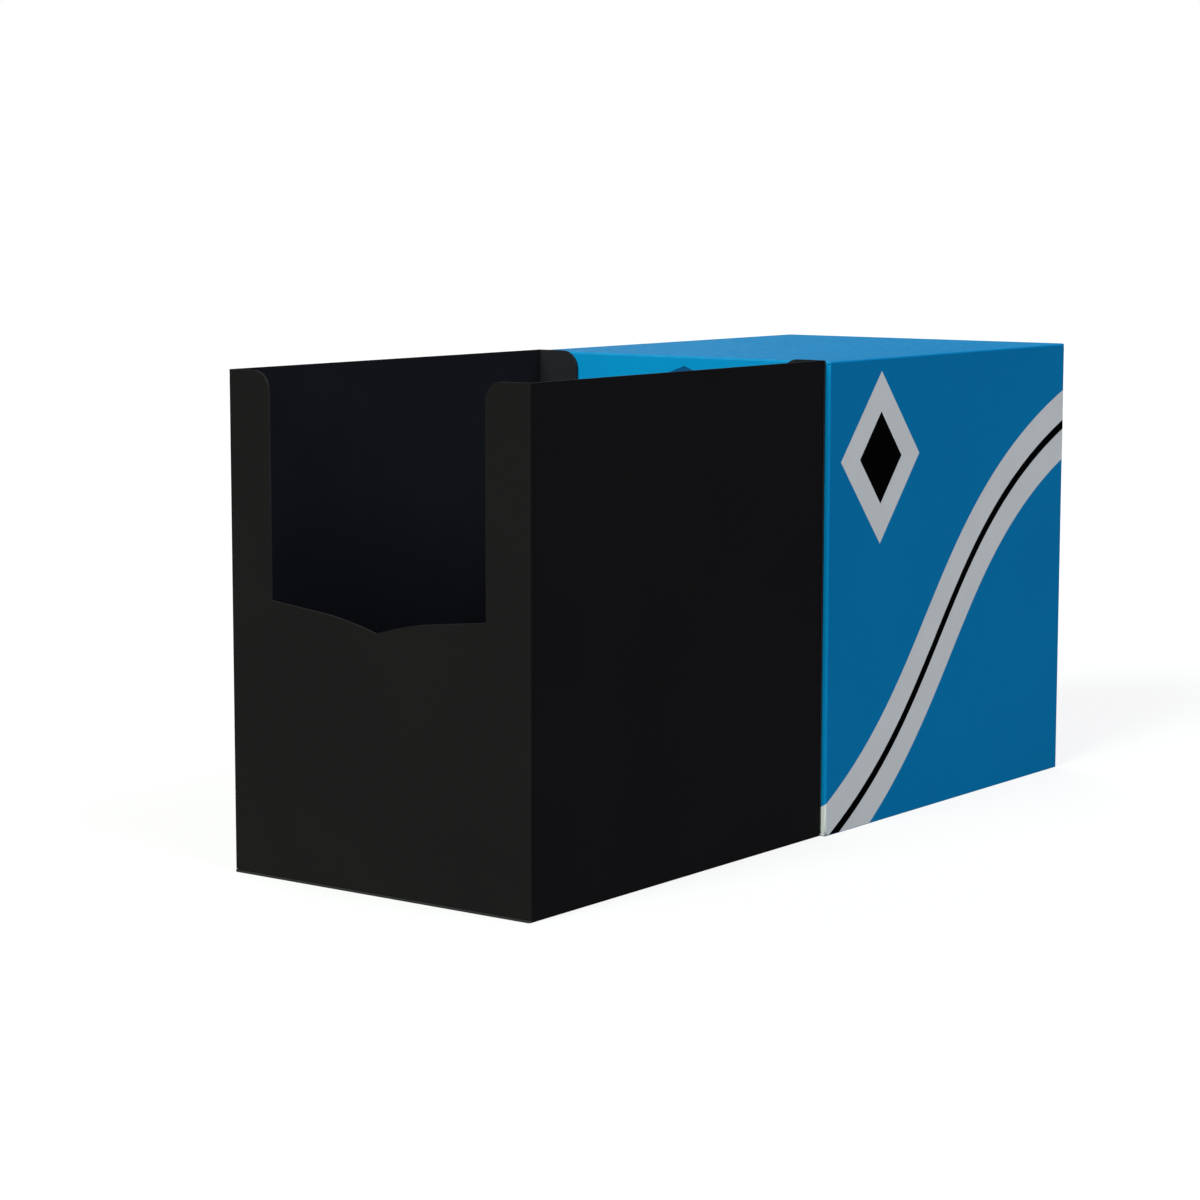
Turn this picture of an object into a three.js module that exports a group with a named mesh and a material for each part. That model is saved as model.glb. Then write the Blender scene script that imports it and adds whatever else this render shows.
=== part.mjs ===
import * as THREE from "three";

// Two-part box for a deck of playing or trading cards, folded from thin sheet plastic: an open tray
// that holds the cards, and a deep shell that drops over it. The shell stands behind the tray,
// taken off. Millimetres, +Z up, X from the tray's front to its back, Y across.
// Origin: the middle of the tray's underside.

// Sheet
const sheet = 0.5; // thickness of the plastic
const foldGap = 0.02; // hair gap left between two neighbouring panels of one blank

// Tray, outside sizes
const trayLength = 97.25;
const trayWidth = 73;
const trayHeight = 98;

// Thumb cut-out, open at the top, the same in the tray's front and rear panels
const cutoutMargin = 10.25; // strip left standing at each side, measured from the tray's side
const cutoutShoulder = 54.2; // height of the cut-out's bottom corners
const cutoutMouthRadius = 3.75; // round corner between the rim and the cut-out's side
const flankSlope = 0.107; // fall of the cut-out's bottom edge towards the middle
const tipSlope = 0.3; // steeper fall at the small point in the middle
const tipReach = 7.2; // distance from the middle at which the two slopes would cross
const tipBlend = 5.3; // how far the curve between them reaches each way

// Seam tab: the four walls are one strip, closed at one upright corner behind the rear panel
const tabWidth = 9;
const tabChamfer = 4; // both free corners are cut at 45 degrees

// Closing flaps, folded in from three walls and bonded to the inside of the base or the lid, which
// hangs on the fourth, the near wall
const closingDepth = 12;

const flapSetback = 1.5; // tab and flaps keep back this far from a corner or an open rim

// Shell: it clears the tray all round
const slideGapLength = 0.25; // at each end of the tray inside the shell
const slideGapWidth = 0.25; // at each side
const shellShort = 0.25; // how much lower than the tray the shell stands
const standGap = 0.25; // between the tray and the shell that stands behind it
const standOffset = 0.25; // how far the shell stands to the near side of the tray's middle

const fold = sheet + foldGap; // one panel and the gap to the next
const shellLength = trayLength + 2 * (slideGapLength + sheet) + fold;
const shellWidth = trayWidth + 2 * (slideGapWidth + sheet);
const shellHeight = trayHeight - shellShort;
const shellCentre = trayLength / 2 + standGap + shellLength / 2;

const curveSteps = 6;

function piece(group, name, geometry, look) {
  const mesh = new THREE.Mesh(geometry, new THREE.MeshStandardMaterial(look));
  mesh.name = name;
  group.add(mesh);
  return mesh;
}

const trayLook = { color: 0x1b1b1c, roughness: 0.55, metalness: 0 };
const shellLook = { color: 0x0a78b8, roughness: 0.45, metalness: 0 };

// A flat plate from an outline in (across, up), standing square to X with its front at x = 0.
function uprightPlate(outline) {
  const plate = new THREE.ExtrudeGeometry(outline, {
    depth: sheet,
    bevelEnabled: false,
    curveSegments: curveSteps,
  });
  plate.rotateX(Math.PI / 2);
  plate.rotateZ(Math.PI / 2);
  return plate;
}

function plainOutline(width, bottom, top) {
  const outline = new THREE.Shape();
  outline.moveTo(-width / 2, bottom);
  outline.lineTo(width / 2, bottom);
  outline.lineTo(width / 2, top);
  outline.lineTo(-width / 2, top);
  return outline;
}

// End panel of the tray, with the cut-out's outline run from its right mouth to its left one.
function cutoutOutline(width, bottom, top) {
  const half = trayWidth / 2 - cutoutMargin;
  const bendHeight = cutoutShoulder - flankSlope * (half - tipReach);
  const flankEnd = tipReach + tipBlend;
  const flankEndHeight = bendHeight + flankSlope * tipBlend;
  const tip = bendHeight - tipSlope * tipReach;
  const mouth = top - cutoutMouthRadius;
  const outline = new THREE.Shape();
  outline.moveTo(-width / 2, bottom);
  outline.lineTo(width / 2, bottom);
  outline.lineTo(width / 2, top);
  outline.lineTo(half + cutoutMouthRadius, top);
  outline.absarc(half + cutoutMouthRadius, mouth, cutoutMouthRadius, Math.PI / 2, Math.PI, false);
  outline.lineTo(half, cutoutShoulder);
  outline.lineTo(flankEnd, flankEndHeight);
  outline.quadraticCurveTo(tipReach, bendHeight, 0, tip);
  outline.quadraticCurveTo(-tipReach, bendHeight, -flankEnd, flankEndHeight);
  outline.lineTo(-half, cutoutShoulder);
  outline.lineTo(-half, mouth);
  outline.absarc(-half - cutoutMouthRadius, mouth, cutoutMouthRadius, 0, Math.PI / 2, false);
  outline.lineTo(-width / 2, top);
  return outline;
}

// Seam tab's outline: its folded edge is at across = 0 and it reaches towards the side given.
function tabOutline(side, bottom, top) {
  const outline = new THREE.Shape();
  outline.moveTo(0, bottom);
  outline.lineTo(side * (tabWidth - tabChamfer), bottom);
  outline.lineTo(side * tabWidth, bottom + tabChamfer);
  outline.lineTo(side * tabWidth, top - tabChamfer);
  outline.lineTo(side * (tabWidth - tabChamfer), top);
  outline.lineTo(0, top);
  return outline;
}

// Closing flap lying flat: its folded edge runs along X at y = 0, and its ends are mitred.
function closingFlap(foldedEdge) {
  const half = foldedEdge / 2 - flapSetback;
  const outline = new THREE.Shape();
  outline.moveTo(-half, 0);
  outline.lineTo(half, 0);
  outline.lineTo(half - closingDepth, closingDepth);
  outline.lineTo(closingDepth - half, closingDepth);
  return new THREE.ExtrudeGeometry(outline, { depth: sheet, bevelEnabled: false });
}

// Four walls of one blank, standing from bottom to top. The end panels run the full width, and the
// side walls lie between them. endOutline draws the two end panels.
function addWalls(group, prefix, size, look, endOutline) {
  const { length, width, bottom, top } = size;
  for (const [side, sign] of [["near", -1], ["far", 1]]) {
    const wall = new THREE.BoxGeometry(length - 2 * fold, sheet, top - bottom);
    const mesh = piece(group, `${prefix}_${side}_wall`, wall, look);
    mesh.position.set(0, (sign * (width - sheet)) / 2, (top + bottom) / 2);
  }
  for (const [end, sign] of [["front", -1], ["rear", 1]]) {
    const plate = uprightPlate(endOutline(width, bottom, top));
    const mesh = piece(group, `${prefix}_${end}_panel`, plate, look);
    mesh.position.x = (sign * (length - sheet)) / 2 - sheet / 2;
  }
}

// Seam tab behind the rear panel, on the side given, from bottom to top.
function addSeamTab(group, prefix, size, look, side) {
  const tab = uprightPlate(tabOutline(-side, size.tabBottom, size.tabTop));
  const mesh = piece(group, `${prefix}_seam_tab`, tab, look);
  mesh.position.set(size.length / 2 - sheet - fold, side * (size.width / 2 - fold), 0);
}

// Three closing flaps, each folded in from its wall, with their undersides at the height given.
function addClosingFlaps(group, prefix, size, look) {
  const insideLength = size.length - 2 * fold;
  const insideWidth = size.width - 2 * fold;
  const flaps = [
    { wall: "far", edge: insideLength, x: 0, y: insideWidth / 2, turn: Math.PI },
    { wall: "front", edge: insideWidth, x: -insideLength / 2, y: 0, turn: -Math.PI / 2 },
    { wall: "rear", edge: insideWidth, x: insideLength / 2, y: 0, turn: Math.PI / 2 },
  ];
  for (const { wall, edge, x, y, turn } of flaps) {
    const mesh = piece(group, `${prefix}_${wall}_flap`, closingFlap(edge), look);
    mesh.position.set(x, y, size.flapHeight);
    mesh.rotation.z = turn;
  }
}

function makeTray() {
  const tray = new THREE.Group();
  const base = new THREE.BoxGeometry(trayLength, trayWidth, sheet);
  piece(tray, "tray_base", base, trayLook).position.z = sheet / 2;
  const size = {
    length: trayLength,
    width: trayWidth,
    bottom: fold,
    top: trayHeight,
    flapHeight: fold,
    tabBottom: 2 * fold + flapSetback,
    tabTop: trayHeight - cutoutMouthRadius - flapSetback,
  };
  addWalls(tray, "tray", size, trayLook, cutoutOutline);
  addSeamTab(tray, "tray", size, trayLook, -1);
  addClosingFlaps(tray, "tray", size, trayLook);
  return tray;
}

function makeShell() {
  const shell = new THREE.Group();
  const lid = new THREE.BoxGeometry(shellLength, shellWidth, sheet);
  piece(shell, "shell_top", lid, shellLook).position.z = shellHeight - sheet / 2;
  const ceiling = shellHeight - fold;
  const size = {
    length: shellLength,
    width: shellWidth,
    bottom: 0,
    top: ceiling,
    flapHeight: ceiling - sheet,
    tabBottom: flapSetback,
    tabTop: ceiling - fold - flapSetback,
  };
  addWalls(shell, "shell", size, shellLook, plainOutline);
  addSeamTab(shell, "shell", size, shellLook, 1);
  addClosingFlaps(shell, "shell", size, shellLook);
  shell.position.set(shellCentre, -standOffset, 0);
  return shell;
}

const group = new THREE.Group();
group.add(makeTray(), makeShell());
export default group;
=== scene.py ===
from math import cos, hypot, pi, radians, sin

import bpy
import bmesh
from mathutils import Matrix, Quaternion, Vector


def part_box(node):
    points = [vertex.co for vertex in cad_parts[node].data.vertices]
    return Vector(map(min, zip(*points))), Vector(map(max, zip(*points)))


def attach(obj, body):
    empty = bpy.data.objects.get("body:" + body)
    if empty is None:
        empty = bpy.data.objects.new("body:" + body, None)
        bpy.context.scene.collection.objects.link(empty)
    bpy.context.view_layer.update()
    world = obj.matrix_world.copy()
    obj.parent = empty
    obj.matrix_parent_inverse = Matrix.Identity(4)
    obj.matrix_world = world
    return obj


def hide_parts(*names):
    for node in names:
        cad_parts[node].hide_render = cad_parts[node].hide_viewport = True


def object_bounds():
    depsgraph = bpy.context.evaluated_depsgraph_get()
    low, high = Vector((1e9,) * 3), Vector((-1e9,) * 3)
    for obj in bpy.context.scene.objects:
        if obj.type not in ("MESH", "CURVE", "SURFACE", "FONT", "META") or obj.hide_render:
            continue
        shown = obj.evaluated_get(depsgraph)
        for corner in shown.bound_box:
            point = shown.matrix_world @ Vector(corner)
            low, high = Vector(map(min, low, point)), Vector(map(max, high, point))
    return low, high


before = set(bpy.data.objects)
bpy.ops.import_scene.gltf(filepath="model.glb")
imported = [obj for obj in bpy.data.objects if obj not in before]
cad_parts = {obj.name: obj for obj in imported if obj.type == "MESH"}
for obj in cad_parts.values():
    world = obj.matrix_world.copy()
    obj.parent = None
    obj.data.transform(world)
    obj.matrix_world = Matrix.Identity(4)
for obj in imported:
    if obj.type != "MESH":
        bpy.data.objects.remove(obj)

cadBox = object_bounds()
mm = 0.001

# Two folded boxes of thin sheet plastic. Each is one continuous sheet, bent round its folds:
# four walls in a strip with a seam tab, one closing panel, and three closing flaps.


def sizeOf(*nodeNames):
    lows, highs = zip(*(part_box(name) for name in nodeNames))
    low = Vector(min(p[i] for p in lows) for i in range(3))
    high = Vector(max(p[i] for p in highs) for i in range(3))
    return low / mm, high / mm


def finishPiece(mesh, name, body, materials):
    piece = bpy.data.objects.new(name, mesh)
    bpy.context.scene.collection.objects.link(piece)
    for material in materials:
        mesh.materials.append(material)
    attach(piece, body)
    return piece


def addModifier(piece, kind, **settings):
    modifier = piece.modifiers.new(kind.title(), kind)
    for key, value in settings.items():
        setattr(modifier, key, value)
    return modifier


def keepShading(piece):
    # the large flat faces set the shading of the small ones beside them
    addModifier(piece, "WEIGHTED_NORMAL", keep_sharp=True, weight=100)


# Plastic and ink. Sizes and depths in a look are in millimetres.
noiseMiddle = (0.3, 0.7)    # where nearly all of a noise pattern's values lie
detail = {"cloud": 3, "speck": 4, "grain": 2, "ripple": 1}
speckToGrain = 4            # a gloss patch is this many times as wide as a grain
grainRoughness = 0.6
plasticBend = 1.49          # index of refraction of polypropylene


def makeNodes(name):
    material = bpy.data.materials.new(name)
    material.use_nodes = True
    nodes, links = material.node_tree.nodes, material.node_tree.links
    shader = nodes["Principled BSDF"]
    return material, nodes, links, shader


def addNoise(nodes, links, coords, size, detailLevel, roughness=0.5):
    noise = nodes.new("ShaderNodeTexNoise")
    noise.inputs["Scale"].default_value = 1 / (size * mm)
    noise.inputs["Detail"].default_value = detailLevel
    noise.inputs["Roughness"].default_value = roughness
    links.new(coords, noise.inputs["Vector"])
    return noise.outputs["Fac"]


def addRange(nodes, links, value, low, high):
    ranged = nodes.new("ShaderNodeMapRange")
    ranged.inputs["From Min"].default_value = noiseMiddle[0]
    ranged.inputs["From Max"].default_value = noiseMiddle[1]
    ranged.inputs["To Min"].default_value = low
    ranged.inputs["To Max"].default_value = high
    links.new(value, ranged.inputs["Value"])
    return ranged.outputs["Result"]


def addMix(nodes, links, factor, dark, light):
    mix = nodes.new("ShaderNodeMix")
    mix.data_type = "RGBA"
    mix.inputs["A"].default_value = (*dark, 1)
    mix.inputs["B"].default_value = (*light, 1)
    links.new(factor, mix.inputs["Factor"])
    return mix.outputs["Result"]


def addBump(nodes, links, height, strength, depth):
    bump = nodes.new("ShaderNodeBump")
    bump.inputs["Strength"].default_value = strength
    bump.inputs["Distance"].default_value = depth * mm
    links.new(height, bump.inputs["Height"])
    return bump


def sheetPlastic(name, look):
    # rolled-grain plastic: cloudy colour, uneven gloss, a fine pebble and a slow ripple
    material, nodes, links, shader = makeNodes(name)
    coords = nodes.new("ShaderNodeTexCoord").outputs["Object"]

    cloud = addNoise(nodes, links, coords, look["cloudSize"], detail["cloud"])
    colour = addMix(nodes, links, addRange(nodes, links, cloud, 0, 1), look["dark"], look["light"])
    links.new(colour, shader.inputs["Base Color"])

    speck = addNoise(nodes, links, coords, look["grainSize"] * speckToGrain, detail["speck"])
    rough = addRange(nodes, links, speck, look["roughLow"], look["roughHigh"])
    links.new(rough, shader.inputs["Roughness"])

    pebble = addNoise(nodes, links, coords, look["grainSize"], detail["grain"], grainRoughness)
    grain = addBump(nodes, links, pebble, look["grainStrength"], look["grainDepth"])
    wave = addNoise(nodes, links, coords, look["rippleSize"], detail["ripple"])
    ripple = addBump(nodes, links, wave, look["rippleStrength"], look["rippleDepth"])
    links.new(grain.outputs["Normal"], ripple.inputs["Normal"])
    links.new(ripple.outputs["Normal"], shader.inputs["Normal"])

    shader.inputs["IOR"].default_value = plasticBend
    shader.inputs["Specular IOR Level"].default_value = look["shine"]
    return material


trayPlastic = {
    "dark": (0.0087, 0.0078, 0.0086), "light": (0.0100, 0.0091, 0.0099), "cloudSize": 40,
    "roughLow": 0.42, "roughHigh": 0.60, "shine": 0.008,
    "grainSize": 0.5, "grainDepth": 0.02, "grainStrength": 0.7,
    "rippleSize": 30, "rippleDepth": 0.05, "rippleStrength": 0.4,
}
# The tray's inside faces are given a bluer, lighter colour than its outside: painted blue bounce
# light from the shell. Their finer cloud and deeper grain are the sheet's own.
trayInsidePaintedBounce = {
    **trayPlastic, "dark": (0.0108, 0.0111, 0.0136), "light": (0.0126, 0.0129, 0.0156),
    "cloudSize": 18, "grainDepth": 0.03,
}
# The tray's cut edges are given a lighter colour than the sheet: a painted highlight along the rims.
# Their higher roughness and finer grain are the rough cut itself.
trayCutEdgePaintedHighlight = {
    **trayPlastic, "dark": (0.021, 0.021, 0.022), "light": (0.028, 0.028, 0.029), "cloudSize": 2,
    "roughLow": 0.6, "roughHigh": 0.8, "grainSize": 0.12, "grainDepth": 0.006,
}
trayCrease = {
    **trayPlastic, "dark": (0.0087, 0.0080, 0.0088), "light": (0.0101, 0.0094, 0.0102),
    "roughLow": 0.36, "roughHigh": 0.50, "shine": 0.010, "grainDepth": 0.008,
}
shellPlastic = {
    "dark": (0.0013, 0.176, 0.408), "light": (0.0016, 0.189, 0.430), "cloudSize": 40,
    "roughLow": 0.44, "roughHigh": 0.60, "shine": 0.020,
    "grainSize": 0.5, "grainDepth": 0.02, "grainStrength": 0.7,
    "rippleSize": 30, "rippleDepth": 0.05, "rippleStrength": 0.4,
}
shellInside = {**shellPlastic, "cloudSize": 18, "grainDepth": 0.03}
# The shell's cut edges are given a lighter blue than the sheet: a painted highlight along the rims.
# Their higher roughness and finer grain are the rough cut itself.
shellCutEdgePaintedHighlight = {
    **shellPlastic, "dark": (0.008, 0.22, 0.50), "light": (0.012, 0.25, 0.54), "cloudSize": 2,
    "roughLow": 0.6, "roughHigh": 0.8, "grainSize": 0.12, "grainDepth": 0.006,
}
# The shell's folds are given a lighter blue than the sheet: a painted highlight along the folds.
# Their lower roughness is the pressed fold's own gloss.
shellCreasePaintedHighlight = {
    **shellPlastic, "dark": (0.002, 0.190, 0.450), "light": (0.003, 0.205, 0.480),
    "roughLow": 0.30, "roughHigh": 0.44, "shine": 0.025, "grainDepth": 0.008,
}
greyInk = {
    "dark": (0.625, 0.642, 0.642), "light": (0.655, 0.672, 0.672), "cloudSize": 12,
    "roughLow": 0.42, "roughHigh": 0.55, "shine": 0.01,
    "grainSize": 0.35, "grainDepth": 0.006, "grainStrength": 0.4,
    "rippleSize": 30, "rippleDepth": 0.05, "rippleStrength": 0.4,
}
blackInk = {
    **greyInk, "dark": (0.0010, 0.0010, 0.0010), "light": (0.0016, 0.0016, 0.0016), "shine": 0.003,
}
# a dark blue for the triangle at the top of the front panel: painted shade, not ink
darkBluePaintedShade = {**greyInk, "dark": (0.002, 0.050, 0.150), "light": (0.003, 0.056, 0.165)}


# How a blank is bent, shared by both boxes, in millimetres
folding = {
    "radius": 0.45,         # outside radius of the upright folds and of the closing panel's hinge
    "steps": 4,             # flats round a quarter turn of those folds
    "crease": 0.14,         # outside radius where a closing flap is pressed flat onto its panel
    "creaseSteps": 3,
    "hair": 0.02,           # gap where one layer lies on another
    "relief": 0.1,          # slit between two folds that meet at a corner
    "edgeRound": 0.035,     # softening of the cut edges
    "edgeSegments": 2,
    "edgeAngle": 60,        # edges that turn by more degrees than this are softened
    "sameSpot": 0.0001,     # points closer than this are one point
}
spotDigits = 4              # decimals of a millimetre to which points are matched
levelSlack = 0.001          # a height this little under a panel's start still counts as on it

# material slots of a folded sheet
outsideSlot, cutSlot, creaseSlot, insideSlot = range(4)


class Sheet:
    # One blank, drawn twice in the same order: its outside surface, then its inside surface.
    # Points are shared, so the blank stays in one piece, and its open edges are closed at the end.

    def __init__(self, place):
        self.place = place
        self.known = {}         # outside position: number of the point
        self.outside, self.inside = [], []
        self.order = []         # numbers of the points, in the order they were asked for
        self.faces = []
        self.isInside = False

    def point(self, x, y, z):
        spot = self.place(x, y, z)
        if self.isInside:
            number = self.order[self.asked]
            self.asked += 1
            self.inside[number] = spot
            return number
        key = tuple(round(c, spotDigits) for c in spot)
        if key not in self.known:
            self.known[key] = len(self.outside)
            self.outside.append(spot)
            self.inside.append(spot)
        self.order.append(self.known[key])
        return self.known[key]

    def face(self, corners, slot=outsideSlot):
        numbers = [self.point(*corner) for corner in corners]
        if not self.isInside:
            self.faces.append((list(dict.fromkeys(numbers)), slot))

    def band(self, lower, upper, slot):
        for i in range(len(lower) - 1):
            self.face([lower[i], lower[i + 1], upper[i + 1], upper[i]], slot)

    def turnInside(self):
        self.isInside, self.asked = True, 0

    def solid(self):
        shape = bmesh.new()
        outer = [shape.verts.new(Vector(spot) * mm) for spot in self.outside]
        skin = []
        for numbers, slot in self.faces:
            face = shape.faces.new([outer[n] for n in numbers])
            face.material_index = slot
            skin.append(face)
        bmesh.ops.recalc_face_normals(shape, faces=skin)
        shape.normal_update()
        front = min(skin, key=lambda f: f.calc_center_median().x)
        if front.normal.x > 0:
            bmesh.ops.reverse_faces(shape, faces=skin)
        rim = [(loop.vert, loop.link_loop_next.vert) for face in skin for loop in face.loops
               if len(loop.edge.link_faces) == 1]
        inner = [shape.verts.new(Vector(spot) * mm) for spot in self.inside]
        twin = dict(zip(outer, inner))
        for face in skin:
            back = shape.faces.new([twin[v] for v in reversed(face.verts)])
            back.material_index = face.material_index or insideSlot
        for first, second in rim:
            cut = shape.faces.new([second, first, twin[first], twin[second]])
            cut.material_index = cutSlot
        near = folding["sameSpot"] * mm
        bmesh.ops.remove_doubles(shape, verts=shape.verts, dist=near)
        bmesh.ops.dissolve_degenerate(shape, edges=shape.edges, dist=near)
        for face in shape.faces:
            face.smooth = True
        return shape


def quarter(startAngle, turn, steps):
    # unit directions round a quarter turn, one way or the other, from the angle given
    angles = [startAngle + turn * pi / 2 * i / steps for i in range(steps + 1)]
    return [(cos(angle), sin(angle)) for angle in angles]


def cutoutEdge(cutout, halfWidth, top):
    # the rim of an end panel from one side to the other, down through the thumb cut-out
    half = halfWidth - cutout["margin"]
    radius = cutout["mouthRadius"]
    bendHeight = cutout["shoulder"] - cutout["flankSlope"] * (half - cutout["tipReach"])
    tip = bendHeight - cutout["tipSlope"] * cutout["tipReach"]
    flankEnd = cutout["tipReach"] + cutout["tipBlend"]
    flankEndHeight = bendHeight + cutout["flankSlope"] * cutout["tipBlend"]
    right = [(half + radius + radius * dx, top - radius + radius * dz)
             for dx, dz in quarter(pi / 2, 1, cutout["mouthSteps"])]
    right.append((half, cutout["shoulder"]))
    for i in range(cutout["tipSteps"] + 1):
        t = i / cutout["tipSteps"]
        across = (1 - t) ** 2 * flankEnd + 2 * t * (1 - t) * cutout["tipReach"]
        height = (1 - t) ** 2 * flankEndHeight + 2 * t * (1 - t) * bendHeight + t * t * tip
        right.append((across, height))
    return right + [(-across, height) for across, height in reversed(right[:-1])]


def drawBlank(sheet, build, d):
    # every panel and fold of a box closed at height 0, at depth d under the outside surface
    r, crease, relief = folding["radius"], folding["crease"], folding["relief"]
    steps, creaseSteps = folding["steps"], folding["creaseSteps"]
    halfLength, halfWidth, top = build["length"] / 2, build["width"] / 2, build["height"]
    layer = build["thickness"] + folding["hair"]    # where the second layer of sheet begins
    side, tab = build["seamSide"], build["tab"]
    e, bend = max(r, d), max(r - d, 0)      # a fold's centre, in from its corner, and its radius
    ec, bendCrease = max(crease, d), max(crease - d, 0)
    inner = halfLength - layer              # the seam tab's outside face
    flatLow, flatHigh = e - halfLength, halfLength - e
    tabFold = inner - e

    # heights at which neighbouring panels share a point, for the outside surface and for this
    # depth: over the hinge, over a flap, and the open rim
    overHinge, overFlap = (r, e), (layer + crease, layer + ec)
    levels = [overHinge, overFlap, (top, top)]
    foot = {"near": overHinge, "far": overFlap, "front": overFlap, "rear": overFlap}

    def above(start, extra=()):
        return [z for key, z in sorted(levels + list(extra)) if key >= start - levelSlack]

    seamFoot = 2 * (layer + relief)         # the seam's fold starts over the closing flaps
    seamHeights = [(z, z) for z in (seamFoot, tab["bottom"], tab["top"])]

    # upright folds: centre, where the quarter turn starts, and whether it carries the seam tab
    sideY = side * (halfWidth - e)
    folds = [((tabFold, sideY), 0, True), ((flatLow, sideY), side * pi / 2, False),
             ((flatLow, -sideY), pi, False), ((flatHigh, -sideY), -side * pi / 2, False)]
    for (x, y), start, isTab in folds:
        ring = [(x + bend * dx, y + bend * dy) for dx, dy in quarter(start, side, steps)]
        heights = above(seamFoot, seamHeights) if isTab else above(overFlap[0])
        for low, high in zip(heights, heights[1:]):
            lower, upper = [[(px, py, z) for px, py in ring] for z in (low, high)]
            sheet.band(lower, upper, creaseSlot)

    # side walls
    for name, sign in (("near", -1), ("far", 1)):
        y = sign * (halfWidth - d)
        xRear = tabFold if sign == side else flatHigh
        key, bottom = foot[name]
        outline = [(flatLow, y, z) for z in reversed(above(key))]
        if name == "far":
            outline += [(flatLow + relief, y, bottom), (xRear - relief, y, bottom)]
        outline += [(xRear, y, z) for z in above(key, seamHeights if sign == side else ())]
        sheet.face(outline)

    # end panels; the rear one ends flush in a cut edge on the seam's side
    for name, sign in (("front", -1), ("rear", 1)):
        x = sign * (halfLength - d)
        reach = {-1: halfWidth - e, 1: halfWidth - e}
        if name == "rear":
            reach[side] = halfWidth
        key, bottom = foot[name]
        heights = above(key)
        outline = [(x, relief - reach[-1], bottom), (x, reach[1] - relief, bottom)]
        outline += [(x, reach[1], z) for z in heights]
        if build["cutout"]:
            outline += [(x, across, z) for across, z in cutoutEdge(build["cutout"], halfWidth, top)]
        outline += [(x, -reach[-1], z) for z in reversed(heights)]
        sheet.face(outline)

    # seam tab, behind the rear panel
    x, fixed, chamfer = inner - d, halfWidth - e, tab["chamfer"]
    free = halfWidth - r - tab["width"]
    edge = [(fixed, tab["bottom"]), (free + chamfer, tab["bottom"]),
            (free, tab["bottom"] + chamfer), (free, tab["top"] - chamfer),
            (free + chamfer, tab["top"]), (fixed, tab["top"])]
    edge += [(fixed, z) for key, z in reversed(levels) if tab["bottom"] < key < tab["top"]]
    sheet.face([(x, side * across, z) for across, z in edge])

    # closing panel, hung on the near wall, and its hinge
    corner, y = build["panelCorner"], halfWidth - e
    hingeEnd = tabFold if side == -1 else flatHigh
    hinge = [corner - halfLength, flatLow, hingeEnd, halfLength - corner]
    sheet.face([(x, -y, d) for x in hinge] + [
        (halfLength, corner - y, d), (halfLength, halfWidth - corner, d),
        (halfLength - corner, halfWidth, d), (corner - halfLength, halfWidth, d),
        (-halfLength, halfWidth - corner, d), (-halfLength, corner - y, d)])
    turn = [(bend * dy - y, e + bend * dz) for dy, dz in quarter(-pi / 2, -1, steps)]
    for low, high in zip(hinge, hinge[1:]):
        lower, upper = [[(x, across, z) for across, z in turn] for x in (low, high)]
        sheet.band(lower, upper, creaseSlot)

    # closing flaps, each folded in from its wall onto the closing panel, with mitred ends
    depth = build["closing"]
    turn = [(ec - bendCrease * dx, layer + ec + bendCrease * dz)
            for dx, dz in quarter(0, -1, creaseSteps)]
    farEnd = tabFold if side == 1 else flatHigh
    seamLow, seamHigh = (halfWidth if side == -1 else y), (halfWidth if side == 1 else y)
    placeFlap = {
        "far": lambda along, inward, z: (along, halfWidth - inward, z),
        "front": lambda along, inward, z: (inward - halfLength, along, z),
        "rear": lambda along, inward, z: (halfLength - inward, along, z),
    }
    spans = {"far": (flatLow, farEnd), "front": (-y, y), "rear": (-seamLow, seamHigh)}
    for wall, place in placeFlap.items():
        low, high = spans[wall][0] + relief, spans[wall][1] - relief
        lower, upper = [[place(along, i, z) for i, z in turn] for along in (low, high)]
        sheet.band(lower, upper, creaseSlot)
        free, z = r + depth, layer + d
        sheet.face([place(low, ec, z), place(high, ec, z),
                    place(high - depth, free, z), place(low + depth, free, z)])


def foldBlank(name, body, materials, build):
    cx, cy = build["middle"]

    def place(x, y, z):
        return x + cx, y + cy, (build["height"] - z if build["flip"] else z)

    sheet = Sheet(place)
    drawBlank(sheet, build, 0)
    sheet.turnInside()
    drawBlank(sheet, build, build["thickness"])
    shape = sheet.solid()
    mesh = bpy.data.meshes.new(name)
    shape.to_mesh(mesh)
    shape.free()
    piece = finishPiece(mesh, name, body, materials)
    addModifier(piece, "BEVEL", width=folding["edgeRound"] * mm, segments=folding["edgeSegments"],
                limit_method="ANGLE", angle_limit=radians(folding["edgeAngle"]),
                use_clamp_overlap=True, harden_normals=False)
    keepShading(piece)
    print(name, "folded")
    return piece


# Trimming of both blanks, in millimetres
trimming = {
    "tabChamfer": 4,        # both free corners of the seam tab
    "tabTuck": 0.5,         # how much of the tab's width its fold takes up
    "closing": 12,          # depth of the closing flaps
    "panelCorner": 0.2,     # small cut at the closing panel's corners
}


def blankFrom(wallNodes, panelNode, tabNode):
    # sizes of one box, read from its solids
    low, high = sizeOf(panelNode, *wallNodes)
    panelLow, panelHigh = sizeOf(panelNode)
    tabLow, tabHigh = sizeOf(tabNode)
    tab = {
        "width": tabHigh.y - tabLow.y - trimming["tabTuck"], "chamfer": trimming["tabChamfer"],
        "bottom": tabLow.z, "top": tabHigh.z,
    }
    return {
        "length": high.x - low.x, "width": high.y - low.y, "height": high.z - low.z,
        "thickness": panelHigh.z - panelLow.z,
        "middle": ((high.x + low.x) / 2, (high.y + low.y) / 2), "tab": tab,
        "closing": trimming["closing"], "panelCorner": trimming["panelCorner"],
    }


def wallNames(box):
    return [f"{box}_{part}" for part in ("near_wall", "far_wall", "front_panel", "rear_panel")]


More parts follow.
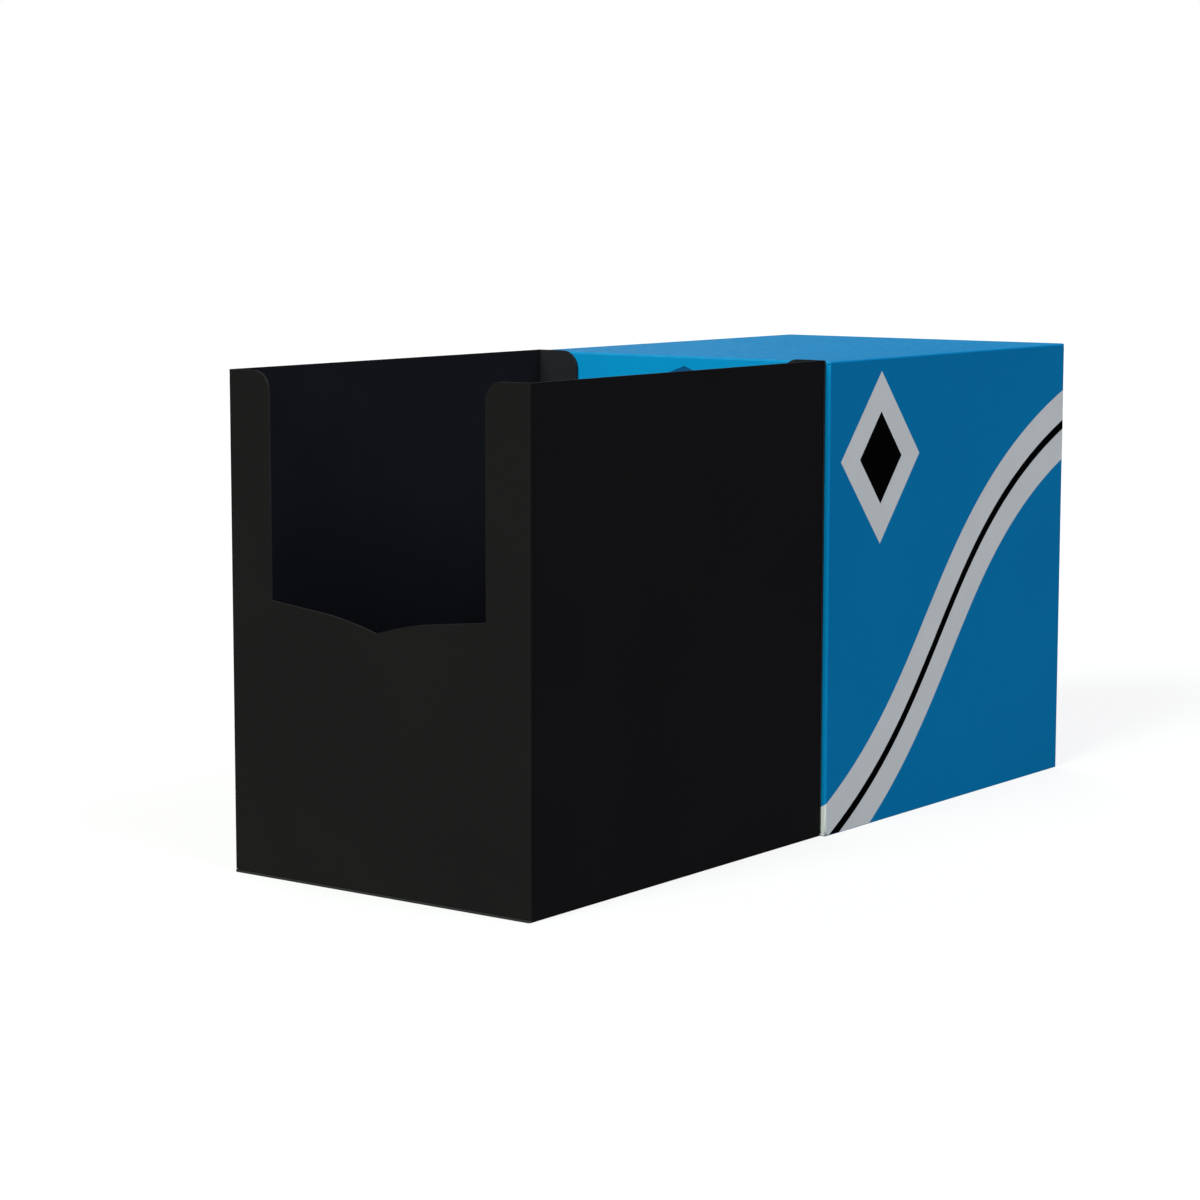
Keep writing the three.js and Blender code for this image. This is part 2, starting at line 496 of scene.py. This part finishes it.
def allNodes(box):
    return [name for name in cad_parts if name.startswith(box + "_")]


# The tray, open at the top, and the thumb cut-out in both of its end panels, in millimetres
thumbCutout = {
    "margin": 10.25,        # strip left standing at each side
    "shoulder": 54.2,       # height of the cut-out's bottom corners
    "mouthRadius": 3.75,
    "flankSlope": 0.107,    # fall of the bottom edge towards the middle
    "tipSlope": 0.3, "tipReach": 7.2, "tipBlend": 5.3,    # the steeper point in the middle
    "mouthSteps": 14, "tipSteps": 16,
}


def makeTray():
    build = blankFrom(wallNames("tray"), "tray_base", "tray_seam_tab")
    build.update(flip=False, seamSide=-1, cutout=thumbCutout)
    materials = [
        sheetPlastic("trayPlastic", trayPlastic), sheetPlastic("trayCutEdgePaintedHighlight", trayCutEdgePaintedHighlight),
        sheetPlastic("trayCrease", trayCrease), sheetPlastic("trayInsidePaintedBounce", trayInsidePaintedBounce),
    ]
    tray = foldBlank("tray_sheet", "tray", materials, build)
    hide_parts(*allNodes("tray"))


# The shell, closed at the top: the same kind of blank turned upside down
def makeShell():
    build = blankFrom(wallNames("shell"), "shell_top", "shell_seam_tab")
    tab = build["tab"]
    tab["bottom"], tab["top"] = build["height"] - tab["top"], build["height"] - tab["bottom"]
    build.update(flip=True, seamSide=1, cutout=None)
    materials = [
        sheetPlastic("shellPlastic", shellPlastic), sheetPlastic("shellCutEdgePaintedHighlight", shellCutEdgePaintedHighlight),
        sheetPlastic("shellCreasePaintedHighlight", shellCreasePaintedHighlight), sheetPlastic("shellInside", shellInside),
    ]
    shell = foldBlank("shell_sheet", "shell", materials, build)
    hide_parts(*allNodes("shell"))
    return build


# Print on the shell, and a patch of painted shade on its front panel, in millimetres. Places count
# along from the shell's front, and up.
printing = {
    "film": 0.02,           # each ink stands this proud of what it lies on
    "body": 0.05,           # how thick an ink film's solid is; the rest is sunk in the sheet
    "turnedFront": 24,      # how far the ink runs on past the fold, on the front panel
    "turnedRear": 0,        # the same on the rear panel
    "rim": 0.12,            # bare sheet left at the shell's open rim
    "topFold": 0.1,         # bare sheet left below the fold at the top
}
band = {
    "start": (-26, -12), "pullStart": (52, 12), "pullEnd": (36, 58), "end": (106, 82),
    "width": 14.6, "lineWidth": 1.9, "steps": 72,
    "lookAhead": 0.001,     # share of the band over which its direction is taken
}
lozenge = {
    "middle": (20, 77), "halfWidth": 15.5, "halfHeight": 18, "coreWidth": 8.2, "coreHeight": 9.6,
}
# the dark triangle at the top of the front panel: painted shade, laid as a thin film like the ink
frontShadePatch = {"middleAcross": -1.2, "tip": 95.7, "halfWidth": 15, "halfHeight": 5.6}


def bezier(points, t):
    a, b, c, d = points
    u = 1 - t
    return tuple(u ** 3 * a[i] + 3 * u * u * t * b[i] + 3 * u * t * t * c[i] + t ** 3 * d[i]
                 for i in (0, 1))


def stripFaces(width, shift):
    # a strip of even width along the band's middle line
    points = [band[key] for key in ("start", "pullStart", "pullEnd", "end")]
    steps, left, right = band["steps"], [], []
    for i in range(steps + 1):
        here, ahead = bezier(points, i / steps), bezier(points, i / steps + band["lookAhead"])
        dx, dz = ahead[0] - here[0], ahead[1] - here[1]
        scale = width / 2 / hypot(dx, dz)
        left.append((here[0] - dz * scale + shift, here[1] + dx * scale))
        right.append((here[0] + dz * scale + shift, here[1] - dx * scale))
    return [[left[i], left[i + 1], right[i + 1], right[i]] for i in range(steps)]


def lozengeFace(middle, halfWidth, halfHeight):
    across, up = middle
    return [(across + halfWidth, up), (across, up + halfHeight),
            (across - halfWidth, up), (across, up - halfHeight)]


def inkAndShadeFilm(name, material, faces, lift, build, onWall):
    # flat faces in (along, up) of a wall, clipped to it, bent round its folds and thickened
    shape = bmesh.new()
    shared = {}
    for corners in faces:
        verts = []
        for along, up in corners:
            key = (round(along, spotDigits), round(up, spotDigits))
            if key not in shared:
                shared[key] = shape.verts.new((along, 0, up))
            verts.append(shared[key])
        shape.faces.new(verts)
    r, halfLength = folding["radius"], build["length"] / 2
    flatEnd = halfLength - r
    arc = r * pi / 2
    top = build["height"] - r - printing["topFold"]

    def cut(spot, normal, clear):
        everything = shape.verts[:] + shape.edges[:] + shape.faces[:]
        bmesh.ops.bisect_plane(shape, geom=everything, plane_co=spot, plane_no=normal,
                               clear_outer=clear)

    cut((0, 0, printing["rim"]), (0, 0, -1), True)
    cut((0, 0, top), (0, 0, 1), True)
    for sign, turned in ((-1, printing["turnedFront"]), (1, printing["turnedRear"])):
        cut((sign * (flatEnd + arc + turned), 0, 0), (sign, 0, 0), True)
        for i in range(folding["steps"] + 1):
            cut((sign * (flatEnd + arc * i / folding["steps"]), 0, 0), (sign, 0, 0), False)
    cx, cy = build["middle"]
    if onWall == "near":
        outward = Vector((-0.1, -1, 0))     # a little forward too, for the turned end
        for vert in shape.verts:
            along, up = vert.co.x, vert.co.z
            past = max(0, abs(along) - flatEnd)
            bend, onPanel = min(past, arc) / r, max(0, past - arc)
            out = r + lift
            x = min(abs(along), flatEnd) + out * sin(bend)
            y = r - build["width"] / 2 - out * cos(bend) + onPanel
            vert.co = Vector(((x if along > 0 else -x) + cx, y + cy, up)) * mm
    else:
        outward = Vector((-1, 0, 0))
        for vert in shape.verts:
            vert.co = Vector((cx - halfLength - lift, cy + vert.co.x, vert.co.z)) * mm
    shape.normal_update()
    for face in shape.faces:
        if face.normal.dot(outward) < 0:
            face.normal_flip()
        face.smooth = True
    mesh = bpy.data.meshes.new(name)
    shape.to_mesh(mesh)
    shape.free()
    piece = finishPiece(mesh, name, "shell", [material])
    addModifier(piece, "SOLIDIFY", thickness=printing["body"] * mm, offset=-1)
    keepShading(piece)
    print(name, "printed")


def printAndShadeShell(build):
    grey, black = sheetPlastic("greyInk", greyInk), sheetPlastic("blackInk", blackInk)
    darkBlue = sheetPlastic("darkBluePaintedShade", darkBluePaintedShade)
    shift = -build["length"] / 2            # from counting along from the front to the middle
    onSheet, onInk = printing["film"], 2 * printing["film"]

    strip = stripFaces(band["width"], shift)
    inkAndShadeFilm("print_grey_band", grey, strip, onSheet, build, "near")
    line = stripFaces(band["lineWidth"], shift)
    inkAndShadeFilm("print_black_line", black, line, onInk, build, "near")

    middle = (lozenge["middle"][0] + shift, lozenge["middle"][1])
    outer = lozengeFace(middle, lozenge["halfWidth"], lozenge["halfHeight"])
    inkAndShadeFilm("print_grey_lozenge", grey, [outer], onSheet, build, "near")
    core = lozengeFace(middle, lozenge["coreWidth"], lozenge["coreHeight"])
    inkAndShadeFilm("print_black_lozenge", black, [core], onInk, build, "near")

    # the dark patch on the front panel is painted shade
    middle = (frontShadePatch["middleAcross"], frontShadePatch["tip"] - frontShadePatch["halfHeight"])
    mark = lozengeFace(middle, frontShadePatch["halfWidth"], frontShadePatch["halfHeight"])
    inkAndShadeFilm("front_painted_shade", darkBlue, [mark], onSheet, build, "front")


# Floor, in metres, and sky
studio = {
    "floorHalf": 40, "floorDrop": 0.00002,
    "floorDark": (0.93, 0.93, 0.93), "floorLight": (0.97, 0.97, 0.97),
    "floorCloud": 60,       # size of the floor's pale clouds, in millimetres
    "floorRoughness": 0.9,
    "floorGlow": 0.78,      # share of the floor's white that shadows don't reach
    "floorBounce": 0.15,    # how pale the floor is for the light that it throws back
    "skyStrength": 0.15, "backdropWhite": 1,
}
# Soft suns: where each stands, in degrees, its strength and how wide it looks
lamps = {
    "keySun": {
        "azimuth": 180, "elevation": 28, "strength": 4.1, "angle": 30, "colour": (1.0, 1.10, 0.95),
    },
    "sideSun": {
        "azimuth": -90, "elevation": 40, "strength": 1.55, "angle": 40, "colour": (0.94, 0.97, 1.10),
    },
    "backSun": {
        "azimuth": 62, "elevation": 30, "strength": 1.4, "angle": 50, "colour": (1.0, 1.0, 1.0),
    },
}
# Camera: lens in millimetres, angles in degrees, distances in metres
camera = {
    "lens": 93.30, "sensor": 36, "azimuth": 36.593, "pitch": 7.426, "roll": 0.080,
    "distance": 0.65725, "aimFromMiddle": (-0.01059, 0.01341, -0.00279),
    "clipStart": 0.01, "clipEnd": 200,
}


def seenAs(nodes, links, unseen, seen):
    # one look for the camera, another for the light that bounces about
    path = nodes.new("ShaderNodeLightPath")
    choose = nodes.new("ShaderNodeMixShader")
    links.new(path.outputs["Is Camera Ray"], choose.inputs["Fac"])
    links.new(unseen, choose.inputs[1])
    links.new(seen, choose.inputs[2])
    return choose.outputs["Shader"]


def makeFloor():
    half, z = studio["floorHalf"], -studio["floorDrop"]
    corners = [(-half, -half, z), (half, -half, z), (half, half, z), (-half, half, z)]
    mesh = bpy.data.meshes.new("floor")
    mesh.from_pydata(corners, [], [(0, 1, 2, 3)])
    floor = bpy.data.objects.new("floor", mesh)
    bpy.context.scene.collection.objects.link(floor)
    material, nodes, links, shader = makeNodes("floorPaper")
    coords = nodes.new("ShaderNodeTexCoord").outputs["Object"]
    cloud = addNoise(nodes, links, coords, studio["floorCloud"], detail["cloud"])
    colour = addMix(nodes, links, cloud, studio["floorDark"], studio["floorLight"])
    links.new(colour, shader.inputs["Base Color"])
    shader.inputs["Roughness"].default_value = studio["floorRoughness"]
    shader.inputs["Specular IOR Level"].default_value = 0
    glow = nodes.new("ShaderNodeEmission")
    glow.inputs["Strength"].default_value = studio["backdropWhite"]
    lit = nodes.new("ShaderNodeMixShader")
    lit.inputs["Fac"].default_value = studio["floorGlow"]
    links.new(shader.outputs["BSDF"], lit.inputs[1])
    links.new(glow.outputs["Emission"], lit.inputs[2])
    bounce = nodes.new("ShaderNodeBsdfDiffuse")
    bounce.inputs["Color"].default_value = (*[studio["floorBounce"]] * 3, 1)
    surface = seenAs(nodes, links, bounce.outputs["BSDF"], lit.outputs["Shader"])
    links.new(surface, nodes["Material Output"].inputs["Surface"])
    mesh.materials.append(material)
    print("floor laid")


def makeLight():
    for name, settings in lamps.items():
        lamp = bpy.data.lights.new(name, "SUN")
        lamp.energy, lamp.angle = settings["strength"], radians(settings["angle"])
        lamp.color = settings["colour"]
        sun = bpy.data.objects.new(name, lamp)
        bpy.context.scene.collection.objects.link(sun)
        rise, around = radians(settings["elevation"]), radians(settings["azimuth"])
        towards = Vector((cos(rise) * cos(around), cos(rise) * sin(around), sin(rise)))
        sun.rotation_mode = "QUATERNION"
        sun.rotation_quaternion = towards.to_track_quat("Z", "Y")

    world = bpy.data.worlds.new("studio")
    bpy.context.scene.world = world
    world.use_nodes = True
    nodes, links = world.node_tree.nodes, world.node_tree.links
    sky, white = nodes["Background"], nodes.new("ShaderNodeBackground")
    for part, strength in ((sky, studio["skyStrength"]), (white, studio["backdropWhite"])):
        part.inputs["Color"].default_value = (1, 1, 1, 1)
        part.inputs["Strength"].default_value = strength
    surface = seenAs(nodes, links, sky.outputs["Background"], white.outputs["Background"])
    links.new(surface, nodes["World Output"].inputs["Surface"])
    print("lights set")


def makeCamera():
    lens = bpy.data.cameras.new("camera")
    lens.lens, lens.sensor_width = camera["lens"], camera["sensor"]
    lens.clip_start, lens.clip_end = camera["clipStart"], camera["clipEnd"]
    eye = bpy.data.objects.new("camera", lens)
    bpy.context.scene.collection.objects.link(eye)
    azimuth, pitch = radians(camera["azimuth"]), radians(camera["pitch"])
    ahead = Vector((cos(pitch) * cos(azimuth), cos(pitch) * sin(azimuth), -sin(pitch)))
    roll = Quaternion((0, 0, 1), radians(camera["roll"]))
    aim = (cadBox[0] + cadBox[1]) / 2 + Vector(camera["aimFromMiddle"])
    eye.location = aim - ahead * camera["distance"]
    eye.rotation_mode = "QUATERNION"
    eye.rotation_quaternion = ahead.to_track_quat("-Z", "Y") @ roll
    bpy.context.scene.camera = eye
    print("camera placed")


makeCamera()
makeFloor()
makeLight()
bpy.context.scene.view_settings.view_transform = "Standard"
makeTray()
printAndShadeShell(makeShell())
